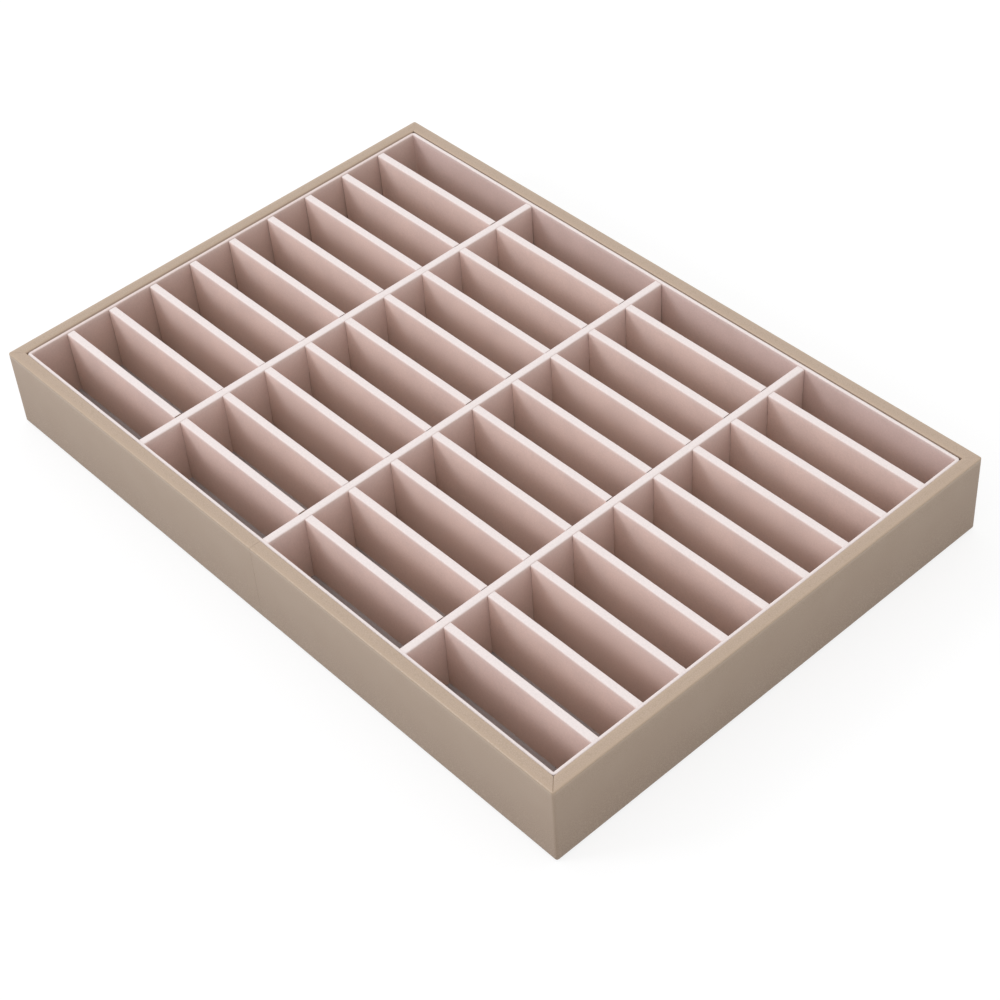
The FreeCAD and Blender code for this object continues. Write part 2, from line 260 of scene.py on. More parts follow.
class TrayStageSettings(bpy.types.PropertyGroup):
    """Floor, lights and camera."""

    floor: colour("Floor", "Colour of the studio floor", "#8C8C8C")
    floor_radius: length("Floor radius", "Radius of the studio floor", 6000)
    floor_lift: number("Floor lift", "Light that the floor adds for the camera alone", 0.76)
    fill: number("Fill", "Strength of the even light from all round", 0.95)
    key_tint: colour("Key tint", "Colour of the soft box at the left", "#F1F6FF")
    key_power: number("Key power", "Watts of the soft box at the left", 23.5)
    key_side: length("Key size", "Side of the soft box at the left", 850)
    key_distance: length("Key distance", "How far the soft box at the left stands from the tray", 3000)
    key_azimuth: angle("Key azimuth", "Where the soft box stands, from the front towards the right", -35)
    key_elevation: angle("Key elevation", "Height of the left soft box above the horizon", 32)
    azimuth: angle("Camera azimuth", "Where the camera stands, from the front towards the right", 50.953)
    elevation: angle("Camera elevation", "Height of the camera above the horizon", 44.179)
    roll: angle("Camera roll", "Tilt of the camera about its line of sight", -5.1)
    lens: number("Lens", "Focal length in millimetres on a 36 mm sensor", 79.366)
    distance: length("Camera distance", "From the camera to the point that it looks at", 987.1)
    target_x: length("Target X", "Point on the floor that the camera looks at, along the tray", 20.49)
    target_y: length("Target Y", "Point on the floor that the camera looks at, across the tray", -5.77)


# Materials

def add_node(tree, kind, inputs=None, **settings):
    """Add a node, set its properties, and fill its sockets with values or links."""
    node = tree.nodes.new(kind)
    for name, value in settings.items():
        setattr(node, name, value)
    for socket, value in (inputs or {}).items():
        if isinstance(value, bpy.types.NodeSocket):
            tree.links.new(value, node.inputs[socket])
        else:
            node.inputs[socket].default_value = value
    return node


# Sockets of a Mix node that mixes colours
FACTOR, FIRST, SECOND, MIXED = 0, 6, 7, 2


def new_material(name):
    """An empty material and its node tree."""
    material = bpy.data.materials.new(name)
    material.use_nodes = True
    material.node_tree.nodes.clear()
    return material, material.node_tree


def pu_leatherette(settings):
    """Polyurethane leatherette, embossed with a pebble grain.

    It gives the eye an even, half-matt taupe skin: a fine grain of creases in the highlights, a slow drift
    of tone, painted shade that darkens it towards the foot, a smooth and glossier line where it is pulled
    over an edge, and painted shade, a dark line on the turning behind the lining. The real grain is about
    0.6 mm wide, and is drawn coarser so that it shows.
    """
    material, tree = new_material("pu_leatherette_embossed")
    place = add_node(tree, "ShaderNodeTexCoord").outputs["Object"]
    grain = add_node(
        tree,
        "ShaderNodeTexVoronoi",
        {"Vector": place, "Scale": 1 / settings.grain, "Randomness": 0.9},
        feature="DISTANCE_TO_EDGE",
    )
    pebbles = add_node(
        tree,
        "ShaderNodeMapRange",
        {"Value": grain.outputs["Distance"], "From Max": CREASE_WIDTH},
        interpolation_type="SMOOTHSTEP",
    )
    drift = add_node(
        tree, "ShaderNodeTexNoise", {"Vector": place, "Scale": 1 / settings.mottle_size, "Detail": 4.0}
    )
    bend = add_node(tree, "ShaderNodeAttribute", attribute_name=FOLD).outputs["Fac"]
    skin = add_node(
        tree,
        "ShaderNodeMix",
        {FACTOR: drift.outputs["Fac"], FIRST: settings.face, SECOND: settings.mottle},
        data_type="RGBA",
    )
    # Painted shade: darker towards the bottom, mixing from the foot colour at the base to the skin at the
    # rim
    height = add_node(tree, "ShaderNodeSeparateXYZ", {"Vector": place}).outputs["Z"]
    rise = add_node(tree, "ShaderNodeMapRange", {"Value": height, "From Max": wrap_high.z})
    dulled = add_node(
        tree,
        "ShaderNodeMix",
        {FACTOR: rise.outputs["Result"], FIRST: settings.foot, SECOND: skin.outputs[MIXED]},
        data_type="RGBA",
    )
    grained = add_node(
        tree,
        "ShaderNodeMix",
        {FACTOR: pebbles.outputs["Result"], FIRST: settings.crease, SECOND: dulled.outputs[MIXED]},
        data_type="RGBA",
    )
    stretched = add_node(
        tree,
        "ShaderNodeMix",
        {FACTOR: bend, FIRST: grained.outputs[MIXED], SECOND: settings.edge},
        data_type="RGBA",
    )
    # Painted shade: where the fold falls below nought, the turning colour darkens the wrap inside the rim
    inside = add_node(tree, "ShaderNodeMapRange", {"Value": bend, "From Max": -1.0})
    coloured = add_node(
        tree,
        "ShaderNodeMix",
        {FACTOR: inside.outputs["Result"], FIRST: stretched.outputs[MIXED], SECOND: settings.turning},
        data_type="RGBA",
    )
    least, most = FACE_ROUGHNESS
    matt = add_node(
        tree, "ShaderNodeMapRange", {"Value": drift.outputs["Fac"], "To Min": least, "To Max": most}
    )
    roughness = add_node(
        tree,
        "ShaderNodeMapRange",
        {"Value": bend, "To Min": matt.outputs["Result"], "To Max": EDGE_ROUGHNESS},
    )
    relief = add_node(
        tree,
        "ShaderNodeBump",
        {"Height": pebbles.outputs["Result"], "Strength": 0.35, "Distance": GRAIN_DEPTH},
    )
    shader = add_node(
        tree,
        "ShaderNodeBsdfPrincipled",
        {
            "Base Color": coloured.outputs[MIXED],
            "Roughness": roughness.outputs["Result"],
            "IOR": 1.5,
            "Normal": relief.outputs["Normal"],
        },
    )
    add_node(tree, "ShaderNodeOutputMaterial", {"Surface": shader.outputs["BSDF"]})
    return material


def cut_cloth(name, tint):
    """The cut edge of a backed cloth: a matt line of short threads, darker between them."""
    material, tree = new_material(name)
    place = add_node(tree, "ShaderNodeTexCoord").outputs["Object"]
    threads = add_node(tree, "ShaderNodeTexNoise", {"Vector": place, "Scale": 1 / THREAD})
    shade = tuple(THREAD_SHADE * channel for channel in tint[:3]) + (1.0,)
    mixed = add_node(
        tree,
        "ShaderNodeMix",
        {FACTOR: threads.outputs["Fac"], FIRST: shade, SECOND: tint},
        data_type="RGBA",
    )
    shader = add_node(
        tree, "ShaderNodeBsdfPrincipled", {"Base Color": mixed.outputs[MIXED], "Roughness": 0.95}
    )
    add_node(tree, "ShaderNodeOutputMaterial", {"Surface": shader.outputs["BSDF"]})
    return material


def flocked_velvet(name, settings, face, nap_and_shade, foot=None):
    """Velvet with a short dense pile, glued flat to a board.

    It gives the eye a soft matt blush with no hard highlight: a fine speckle of tufts, broad patches that
    were brushed one way or the other, painted shade on faces that face along X, painted shade that darkens
    the pile down towards the foot, a faint glow at grazing angles, and a painted highlight, a much paler
    line over the top of a fold. A tuft is about 0.2 mm wide, and is drawn coarser so that it shows.
    """
    material, tree = new_material(name)
    coordinates = add_node(tree, "ShaderNodeTexCoord")
    place, facing = coordinates.outputs["Object"], coordinates.outputs["Normal"]
    tufts = add_node(
        tree,
        "ShaderNodeTexNoise",
        {"Vector": place, "Scale": 1 / settings.pile, "Detail": 3.0, "Roughness": 0.7},
    )
    brushed = add_node(
        tree, "ShaderNodeTexNoise", {"Vector": place, "Scale": 1 / settings.nap_size, "Detail": 2.0}
    )
    least, most = PATCH_LIMITS
    patches = add_node(
        tree,
        "ShaderNodeMapRange",
        {"Value": brushed.outputs["Fac"], "From Min": least, "From Max": most, "To Max": PATCH_STRENGTH},
        interpolation_type="SMOOTHSTEP",
    )
    # Painted shade: faces that face along X take the darker second tone, as do the brushed patches
    sideways = add_node(tree, "ShaderNodeSeparateXYZ", {"Vector": facing}).outputs["X"]
    across = add_node(tree, "ShaderNodeMath", {0: sideways}, operation="ABSOLUTE")
    lie = add_node(
        tree, "ShaderNodeMath", {0: across.outputs[0], 1: patches.outputs["Result"]}, operation="MAXIMUM"
    )
    pile = add_node(
        tree, "ShaderNodeMix", {FACTOR: lie.outputs[0], FIRST: face, SECOND: nap_and_shade}, data_type="RGBA"
    ).outputs[MIXED]
    # Painted shade: darker towards the bottom, mixing from the foot colour at the liners' foot up to the
    # pile colour
    if foot is not None:
        height = add_node(tree, "ShaderNodeSeparateXYZ", {"Vector": place}).outputs["Z"]
        rise = add_node(
            tree,
            "ShaderNodeMapRange",
            {"Value": height, "From Min": liner_low.z, "From Max": settings.painted_shade_height},
        )
        pile = add_node(
            tree,
            "ShaderNodeMix",
            {FACTOR: rise.outputs["Result"], FIRST: foot, SECOND: pile},
            data_type="RGBA",
        ).outputs[MIXED]
    # Painted highlight: the fold attribute mixes the pale fold colour onto the tops
    bend = add_node(tree, "ShaderNodeAttribute", attribute_name=FOLD).outputs["Fac"]
    folded = add_node(
        tree, "ShaderNodeMix", {FACTOR: bend, FIRST: pile, SECOND: settings.fold}, data_type="RGBA"
    )
    dark, light = SPECKLE
    speckle = add_node(
        tree, "ShaderNodeMapRange", {"Value": tufts.outputs["Fac"], "To Min": dark, "To Max": light}
    )
    speckled = add_node(
        tree,
        "ShaderNodeHueSaturation",
        {"Color": folded.outputs[MIXED], "Value": speckle.outputs["Result"]},
    )
    relief = add_node(
        tree,
        "ShaderNodeBump",
        {"Height": tufts.outputs["Fac"], "Strength": 0.3, "Distance": PILE_DEPTH},
    )
    shader = add_node(
        tree,
        "ShaderNodeBsdfPrincipled",
        {
            "Base Color": speckled.outputs["Color"],
            "Roughness": 0.95,
            "Specular IOR Level": 0.15,
            "Sheen Weight": 0.15,
            "Sheen Roughness": 0.5,
            "Sheen Tint": settings.fold,
            "Normal": relief.outputs["Normal"],
        },
    )
    add_node(tree, "ShaderNodeOutputMaterial", {"Surface": shader.outputs["BSDF"]})
    return material


def pressed_fibre(name, base, fleck, fibre, stretch, contrast):
    """Board, card or felt: fibres pressed flat, so that they lie in the plane of the sheet.

    It gives the eye a dry matt ground with short streaks of a second tone and no gloss.
    """
    material, tree = new_material(name)
    place = add_node(tree, "ShaderNodeTexCoord").outputs["Object"]
    laid = add_node(tree, "ShaderNodeMapping", {"Vector": place, "Scale": (1, 1, stretch)})
    fibres = add_node(
        tree,
        "ShaderNodeTexNoise",
        {"Vector": laid.outputs["Vector"], "Scale": 1 / fibre, "Detail": 4.0, "Distortion": 1.5},
    )
    streaks = add_node(
        tree,
        "ShaderNodeMapRange",
        {"Value": fibres.outputs["Fac"], "From Min": 0.5 - contrast, "From Max": 0.5 + contrast},
        interpolation_type="SMOOTHSTEP",
    )
    mixed = add_node(
        tree,
        "ShaderNodeMix",
        {FACTOR: streaks.outputs["Result"], FIRST: fleck, SECOND: base},
        data_type="RGBA",
    )
    relief = add_node(
        tree, "ShaderNodeBump", {"Height": fibres.outputs["Fac"], "Strength": 0.4, "Distance": FIBRE_DEPTH}
    )
    shader = add_node(
        tree,
        "ShaderNodeBsdfPrincipled",
        {
            "Base Color": mixed.outputs[MIXED],
            "Roughness": 0.9,
            "Specular IOR Level": 0.25,
            "Normal": relief.outputs["Normal"],
        },
    )
    add_node(tree, "ShaderNodeOutputMaterial", {"Surface": shader.outputs["BSDF"]})
    return material


def velvet_and_edge(name, settings, face, nap_and_shade, foot=None):
    """A velvet and the cut edge that all the velvets share, each made once."""
    made = bpy.data.materials
    velvet = made.get(name) or flocked_velvet(name, settings, face, nap_and_shade, foot)
    edge = made.get("velvet_cut_edge") or cut_cloth("velvet_cut_edge", settings.backing)
    return [velvet, edge]


# Sheets of cloth

def between(start, end, step):
    """Evenly spaced places from start up to end, without end."""
    count = max(1, round(abs(end - start) / step))
    return np.linspace(start, end, count, endpoint=False)


def stations(fixed, step):
    """Places along a length: the fixed ones, and evenly spaced ones between them."""
    fixed = sorted(fixed)
    runs = [between(start, end, step) for start, end in zip(fixed, fixed[1:])]
    return np.concatenate([*runs, fixed[-1:]])


def section(corners, step):
    """Points of a path through right-angled corners (u, v, radius), and how much it bends at each."""
    path = []
    for place, (u, v, radius) in enumerate(corners):
        here = np.array((u, v))
        if not radius:
            path.append((*here, 0.0))
            continue
        before, after = (np.array(corners[other][:2]) - here for other in (place - 1, place + 1))
        before, after = before / np.linalg.norm(before), after / np.linalg.norm(after)
        centre = here + radius * (before + after)
        for turn in np.linspace(0, math.pi / 2, ROLL_STEPS + 1):
            point = centre - radius * (after * math.cos(turn) + before * math.sin(turn))
            path.append((*point, math.sin(2 * turn)))
    filled = []
    for start, end in zip(path, path[1:]):
        count = max(1, round(math.dist(start[:2], end[:2]) / step))
        filled.extend(np.linspace(start, end, count, endpoint=False))
    return np.array([*filled, path[-1]])


def eased(share):
    """A share held between nought and one, with a smooth start and end."""
    share = np.clip(share, 0, 1)
    return share ** 2 * (3 - 2 * share)


def wander(points, amount, wavelength):
    """Move points a little, as glued cloth strays. Points at one place move alike."""
    noise.seed_set(SEED)
    flat = points.reshape(-1, 3)
    strays = [noise.noise_vector(Vector(point) / wavelength) for point in flat]
    return points + amount * np.array(strays).reshape(points.shape)


def cloth_mesh(name, patches, thickness):
    """Join patches (points, kept cells, fold) into one sheet, and thicken it away from its outer face."""
    points, faces, folds = [], [], []
    for grid, kept, fold in patches:
        rows, columns = grid.shape[:2]
        index = len(points) + np.arange(rows * columns).reshape(rows, columns)
        quads = np.stack([index[:-1, :-1], index[:-1, 1:], index[1:, 1:], index[1:, :-1]], axis=-1)
        faces.extend(quads[kept].tolist())
        points.extend(grid.reshape(-1, 3).tolist())
        folds.extend(np.broadcast_to(fold, (rows, columns)).reshape(-1).tolist())
    mesh = bpy.data.meshes.new(name)
    mesh.from_pydata(points, [], faces)
    mesh.attributes.new(FOLD, "FLOAT", "POINT").data.foreach_set("value", folds)
    welded = bmesh.new()
    welded.from_mesh(mesh)
    bmesh.ops.remove_doubles(welded, verts=welded.verts, dist=WELD)
    loose = [vertex for vertex in welded.verts if not vertex.link_faces]
    bmesh.ops.delete(welded, geom=loose, context="VERTS")
    welded.to_mesh(mesh)
    welded.free()
    draft = bpy.data.objects.new(name + "_draft", mesh)
    bpy.context.collection.objects.link(draft)
    thick = draft.modifiers.new("Thickness", "SOLIDIFY")
    thick.thickness = thickness
    thick.offset = -1
    thick.use_even_offset = True
    thick.use_quality_normals = True
    thick.material_offset_rim = 1
    # Two empty slots, so that the cut edge's faces get the second one
    for _ in range(2):
        mesh.materials.append(None)
    finished = draft.evaluated_get(bpy.context.evaluated_depsgraph_get())
    shaped = bpy.data.meshes.new_from_object(finished)
    bpy.data.objects.remove(draft)
    bpy.data.meshes.remove(mesh)
    shaped.shade_smooth()
    shaped.set_sharp_from_angle(angle=SHARP)
    return shaped


def lay_cloth(name, node, body, patches, thickness, materials):
    """Make a sheet that stands for a CAD node and moves with its body."""
    mesh = cloth_mesh(name, patches, thickness)
    if not mesh.polygons:
        raise RuntimeError(f"{name} has no faces")
    mesh.materials.clear()
    for material in materials:
        mesh.materials.append(material)
    mesh.name = name
    piece = bpy.data.objects.new(name, mesh)
    bpy.context.collection.objects.link(piece)
    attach(piece, body)
    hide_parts(node)
    return piece


def corner_run(inset, corner):
    """Places (along, inward) from a mitre line to the straight part of a side, round the corner."""
    radius = max(corner - inset, 0)
    arc = radius * math.pi / 4
    begin = max(inset, corner)
    places = []
    for share in CORNER_SHARES:
        run = share * (arc + CORNER_REACH - begin)
        if run < arc:
            turn = math.pi / 4 - run / radius
            places.append((corner - radius * math.sin(turn), corner - radius * math.cos(turn)))
        else:
            places.append((begin + run - arc, inset))
    return np.array(places)


def side_grid(path, half_length, half_breadth, corner, cuts=(), slits=(0, 0), slit_start=0):
    """Points of one side of a frame, from mitre to mitre, for a section of (inset, height)."""
    ends = (CORNER_REACH - half_length, half_length - CORNER_REACH)
    middle = stations((*ends, *cuts), RUN_STEP)
    rows = []
    for inset, height in path:
        run, inward = corner_run(inset, corner).T
        opened = (1 - np.array(CORNER_SHARES)) / math.sqrt(2) if inset > slit_start else 0
        start, end = (run + slit * opened for slit in slits)
        along = np.concatenate([start - half_length, middle, half_length - end[::-1]])
        inward = np.concatenate([inward, np.full(len(middle), inset), inward[::-1]])
        rows.append(np.stack([along, inward - half_breadth, np.full(len(along), height)], axis=-1))
    return np.array(rows)


def turned(points, quarters):
    """Points turned about Z by quarter turns."""
    return points @ np.array(Matrix.Rotation(quarters * math.pi / 2, 3, "Z")).T


def whole(points):
    """The mask of a sheet with no cell cut away."""
    return np.ones((points.shape[0] - 1, points.shape[1] - 1), bool)


def wrap_section(settings, inner_roll):
    """Section of the wrap from under the base, over the rim and down inside. Its inner edge may be slack."""
    top, foot, roll = wrap_high.z, wrap_low.z, settings.roll
    corners = (
        (settings.turn_under, foot, 0),
        (0, foot, roll),
        (0, top, roll),
        (RIM - settings.slump_reach, top, 0),
        (RIM, top, inner_roll),
        (RIM, top - settings.slump_reach, 0),
        (RIM, top - settings.turn_in, 0),
    )
    path = section(corners, FINE_STEP)
    on_rim = path[:, 1] > top - roll - WELD
    inward = np.minimum(path[:, 0], RIM - path[:, 0])
    fall = np.where(on_rim, 1 - np.clip(inward / settings.crown_reach, 0, 1), 0)
    path[:, 1] -= settings.crown * fall ** 2
    path[:, 2] = np.maximum(path[:, 2], fall)
    # Painted shade: on the turning inside the rim, the fold goes below nought as the wrap goes down
    inside = (path[:, 0] > RIM / 2) & (path[:, 1] > top / 2)
    depth = np.where(inside, top - path[:, 1], 0)
    dull = np.clip((depth - settings.painted_shade_start) / settings.painted_shade_reach, 0, 1)
    path[:, 2] -= dull * (1 + path[:, 2])
    return path


class TRAY_OT_outer_wrap(bpy.types.Operator):
    """Wrap the walls in one strip of leatherette, turned over the rim and under the base"""

    bl_idname = "tray.outer_wrap"
    bl_label = "Outer wrap"

    def execute(self, context):
        settings = context.scene.tray_wrap
        path, slack = (wrap_section(settings, radius) for radius in (settings.roll, settings.slump))
        halves = (wrap_high.x, wrap_high.y)
        seam = (settings.seam_place - settings.seam / 2, settings.seam_place + settings.seam / 2)
        patches = []
        for quarters, side in enumerate(SIDES):
            half_length, half_breadth = halves if quarters % 2 == 0 else halves[::-1]
            cuts = seam if side == "front" else ()
            corners = (quarters, (quarters + 1) % len(SIDES))
            slits = [settings.slit * SLIT_SHARES[corner] for corner in corners]
            plan = (half_length, half_breadth, settings.corner, cuts, slits, settings.slit_start)
            points = side_grid(path[:, :2], *plan)
            kept = whole(points)
            fold = path[:, 2:]
            if side == "left":
                loose = side_grid(slack[:, :2], *plan)
                share = eased((half_length - abs(points[..., 0])) / CORNER_REACH)
                points += share[..., None] * (loose - points)
                fold = fold + share * (slack[:, 2:] - fold)
            if side == "front":
                spans = (points[0, :-1, 0] + points[0, 1:, 0]) / 2
                kept[:, abs(spans - settings.seam_place) < settings.seam / 2] = False
            points = wander(turned(points, quarters), settings.unevenness, WRAP_WAVE)
            forward = (1 - points[..., 1] / wrap_high.y) / 2
            points[..., 1] += settings.lean * forward * points[..., 2] / wrap_high.z
            patches.append((points, kept, fold))
        materials = [pu_leatherette(settings), cut_cloth("leatherette_cut_edge", settings.cut)]
        piece = lay_cloth(
            "leatherette_wrap", "outer_wrap", "tray", patches, LEATHERETTE, materials
        )
        return {"FINISHED"}


class TRAY_OT_base_felt(bpy.types.Operator):
    """Glue felt under the base, over the turned-under wrap"""

    bl_idname = "tray.base_felt"
    bl_label = "Base felt"

    def execute(self, context):
        settings = context.scene.tray_boards
        low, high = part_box("base_felt")
        corner = settings.felt_corner
        margin = wrap_high.x - high.x
        slope_start = context.scene.tray_wrap.turn_under - margin
        slope_end = slope_start + settings.felt_slope
        thickness = wrap_low.z - low.z
        insets = (0, corner, corner / 2, slope_start, slope_end)
        ways = [
            stations([sign * (half - inset) for inset in insets for sign in (-1, 1)], RUN_STEP)
            for half in (high.x, high.y)
        ]
        x, y = np.meshgrid(*ways, indexing="ij")
        inward = np.minimum(high.x - abs(x), high.y - abs(y))
        share = eased((inward - slope_start) / (slope_end - slope_start))
        lift = (high.z - low.z - thickness) * share
        over_x = np.maximum(abs(x) - (high.x - corner), 0)
        over_y = np.maximum(abs(y) - (high.y - corner), 0)
        reach = np.hypot(over_x, over_y)
        shrink = np.where(reach > corner, corner / np.maximum(reach, WELD), 1)
        x = x - np.sign(x) * over_x * (1 - shrink)
        y = y - np.sign(y) * over_y * (1 - shrink)
        points = np.stack([x, y, low.z + lift], axis=-1)
        felt = pressed_fibre(
            "felt_needled", settings.felt, settings.felt_fibre, settings.fibre, stretch=1, contrast=0.15
        )
        patches = [(points, whole(points), 0)]
        piece = lay_cloth("felt_underside", "base_felt", "tray", patches, thickness, [felt, felt])
        return {"FINISHED"}


class TRAY_OT_floor_velvet(bpy.types.Operator):
    """Cover the floor card in velvet, folded down at its edges with the corners cut out"""

    bl_idname = "tray.floor_velvet"
    bl_label = "Floor velvet"

    def execute(self, context):
        settings = context.scene.tray_velvet
        low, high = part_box("floor_velvet")
        paths = []
        for half in (high.x, high.y):
            left, right = ((sign * half, low.z, 0) for sign in (-1, 1))
            upper_left, upper_right = ((sign * half, high.z, VELVET) for sign in (-1, 1))
            paths.append(section((left, upper_left, upper_right, right), RUN_STEP))
        (x, x_height), (y, y_height) = (path[:, :2].T for path in paths)
        grid_y, grid_x = np.meshgrid(y, x, indexing="ij")
        height = np.minimum(*np.meshgrid(y_height, x_height, indexing="ij"))
        points = np.stack([grid_x, grid_y, height], axis=-1)
        kept = whole(points)
        flat_x, flat_y = (np.minimum(row[:-1], row[1:]) > high.z - WELD for row in (x_height, y_height))
        kept[~np.logical_or.outer(flat_y, flat_x)] = False
        points[1:-1, 1:-1] = wander(points[1:-1, 1:-1], settings.unevenness, FLOOR_WAVE)
        materials = velvet_and_edge("velvet_grey_flocked", settings, settings.floor, settings.floor_nap)
        piece = lay_cloth(
            "velvet_floor", "floor_velvet", "tray", [(points, kept, 0)], VELVET, materials
        )
        return {"FINISHED"}


def settled(points, settings, halves):
    """Points of the lining, moved to where its four sides really sit."""
    along, across = points[..., 0] / halves[0], points[..., 1] / halves[1]
    up = (points[..., 2] - liner_low.z) / (liner_high.z - liner_low.z)
    moves = (
        (settings.liner_right * (1 + along) - settings.liner_left * (1 - along)) / 2,
        (settings.liner_back * (1 + across) - settings.liner_front * (1 - across)) / 2,
        -settings.liner_dip * up * (1 + along) / 2,
    )
    return points + np.stack(moves, axis=-1)


class TRAY_OT_wall_liners(bpy.types.Operator):
    """Cover the four liner cards in velvet, over the top and a little way down the back"""

    bl_idname = "tray.wall_liners"
    bl_label = "Wall liners"

    def execute(self, context):
        settings = context.scene.tray_velvet
        foot, top = liner_low.z, liner_high.z
        corners = (
            (0, top - settings.liner_turn, 0),
            (0, top, settings.liner_radius),
            (LINER, top, settings.liner_radius),
            (LINER, foot, 0),
        )
        path = section(corners, FINE_STEP)
        # Painted highlight: full at the top, gone by the painted highlight's reach below it
        fold = np.clip((path[:, 1:2] - top) / settings.painted_highlight_reach + 1, 0, 1)
        halves = (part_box("right_liner_velvet")[1].x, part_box("back_liner_velvet")[1].y)
        materials = velvet_and_edge(
            "velvet_dusky_flocked", settings, settings.liner, settings.liner_nap_and_shade, settings.foot
        )
        for quarters, side in enumerate(SIDES):
            half_length, half_breadth = halves if quarters % 2 == 0 else halves[::-1]
            points = side_grid(path[:, :2], half_length, half_breadth, settings.liner_corner)
            points = wander(turned(points, quarters), settings.unevenness, VELVET_WAVE)
            points = settled(points, settings, halves)
            piece = lay_cloth(
                f"velvet_{side}_liner",
                f"{side}_liner_velvet",
                "tray",
                [(points, whole(points), fold * PAINTED_HIGHLIGHT_SHARES[quarters])],
                VELVET,
                materials,
            )
        return {"FINISHED"}


def divider_cover(settings, name, body, axis, slots, open_above):
    """Velvet folded over a divider that runs along X (0) or Y (1), cut away at its slots."""
    low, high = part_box(f"{name}_velvet")
    lap_gap = -settings.lap_gap if open_above else settings.lap_gap
    lap = (low.z + high.z + lap_gap) / 2
    top = high.z + settings.rise
    half = (high[1 - axis] - low[1 - axis]) / 2
    centre = (high[1 - axis] + low[1 - axis]) / 2
    corners = (
        (-half, low.z, 0),
        (-half, lap, 0),
        (-half, top, settings.fold_radius),
        (half, top, settings.fold_radius),
        (half, lap, 0),
        (half, low.z, 0),
    )
    path = section(corners, FINE_STEP)
    along = stations([low[axis], high[axis], *(edge for slot in slots for edge in slot)], RUN_STEP)
    spans = (along[:-1] + along[1:]) / 2
    slotted = np.any([(start < spans) & (spans < end) for start, end in slots], axis=0)
    heights = (path[:-1, 1] + path[1:, 1]) / 2
    cut = heights > lap if open_above else heights < lap
    across, run = np.meshgrid(path[:, 0], along, indexing="ij")
    points = np.empty((*run.shape, 3))
    points[..., axis] = run
    points[..., 1 - axis] = centre + (across if axis == 0 else -across)
    points[..., 2] = path[:, 1:2]
    up = (path[:, 1] - low.z) / (top - low.z)
    sides = ("left", "right") if axis == 0 else ("front", "back")
    for side, end, sign in zip(sides, (0, -1), (-1, 1)):
        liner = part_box(f"{side}_liner_velvet")
        gap = low[axis] - liner[1][axis] if end == 0 else liner[0][axis] - high[axis]
        slack = -settings.end_nip if side in ("front", "right") else settings.end_gap
        reach = gap + getattr(settings, f"liner_{side}") - slack
        points[:, end, axis] += sign * (up * reach - (1 - up) * settings.end_set)
    points = wander(points, settings.unevenness, VELVET_WAVE)
    kept = ~np.logical_and.outer(cut, slotted)
    # Painted highlight: full at the top, gone by the painted highlight's reach below it
    fold = np.clip((path[:, 1:2] - top) / settings.painted_highlight_reach + 1, 0, 1)
    materials = velvet_and_edge(
        "velvet_blush_flocked", settings, settings.face, settings.nap_and_shade, settings.foot
    )
    piece = lay_cloth(
        f"velvet_{name}", f"{name}_velvet", body, [(points, kept, fold)], VELVET, materials
    )


class TRAY_OT_cross_dividers(bpy.types.Operator):
    """Fold velvet over the dividers from left to right, which are slotted from above"""

    bl_idname = "tray.cross_dividers"
    bl_label = "Cross dividers"

    def execute(self, context):
        settings = context.scene.tray_velvet
        columns = [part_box(f"long_divider_{column}_velvet") for column in range(1, COLUMN_DIVIDERS + 1)]
        for row in range(1, ROW_DIVIDERS + 1):
            slots = []
            for (low, high), shares in zip(columns, SLACK_SHARES):
                slack = settings.slot_nip + (settings.slot_slack - settings.slot_nip) * shares[row - 1]
                slots.append((low.x - slack, high.x + settings.slot_fit))
            divider_cover(settings, f"cross_divider_{row}", "cross_grid", 0, slots, open_above=True)
        return {"FINISHED"}


class TRAY_OT_long_dividers(bpy.types.Operator):
    """Fold velvet over the dividers from front to back, which are slotted from below"""

    bl_idname = "tray.long_dividers"
    bl_label = "Long dividers"

    def execute(self, context):
        settings = context.scene.tray_velvet
        rows = [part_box(f"cross_divider_{row}_velvet") for row in range(1, ROW_DIVIDERS + 1)]
        slots = [(low.y - settings.slot_fit, high.y + settings.slot_fit) for low, high in rows]
        for column in range(1, COLUMN_DIVIDERS + 1):
            name = f"long_divider_{column}"
            divider_cover(settings, name, name, 1, slots, open_above=False)
        return {"FINISHED"}


class TRAY_OT_boards(bpy.types.Operator):
    """Finish the boards and cards that show in slots and slits"""

    bl_idname = "tray.boards"
    bl_label = "Boards and cards"

    def execute(self, context):
        settings = context.scene.tray_boards
        mdf = pressed_fibre(
            "mdf_sawn", settings.mdf, settings.mdf_fibre, settings.fibre, stretch=3, contrast=0.2
        )
        card = pressed_fibre(
            "greyboard_pressed", settings.card, settings.card_fleck, settings.fibre, stretch=2, contrast=0.12
        )
        for name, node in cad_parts.items():
            if not node.hide_render:
                node.data.materials.clear()
                node.data.materials.append(card if name.endswith("_card") else mdf)
        return {"FINISHED"}


# Stage

def direction(azimuth, elevation):
    """Unit vector to a place seen from the tray. Azimuth goes from the front towards the right."""
    level = math.cos(elevation)
    return Vector((math.sin(azimuth) * level, -math.cos(azimuth) * level, math.sin(elevation)))


def soft_box(name, place, side, power, tint):
    """A square lamp that faces the tray."""
    lamp = bpy.data.lights.new(name, "AREA")
    lamp.shape = "SQUARE"
    lamp.size = side
    lamp.energy = power
    lamp.color = tint[:3]
    box = bpy.data.objects.new(name, lamp)
    box.location = place
    box.rotation_euler = (-Vector(place)).to_track_quat("-Z", "Y").to_euler()
    bpy.context.collection.objects.link(box)


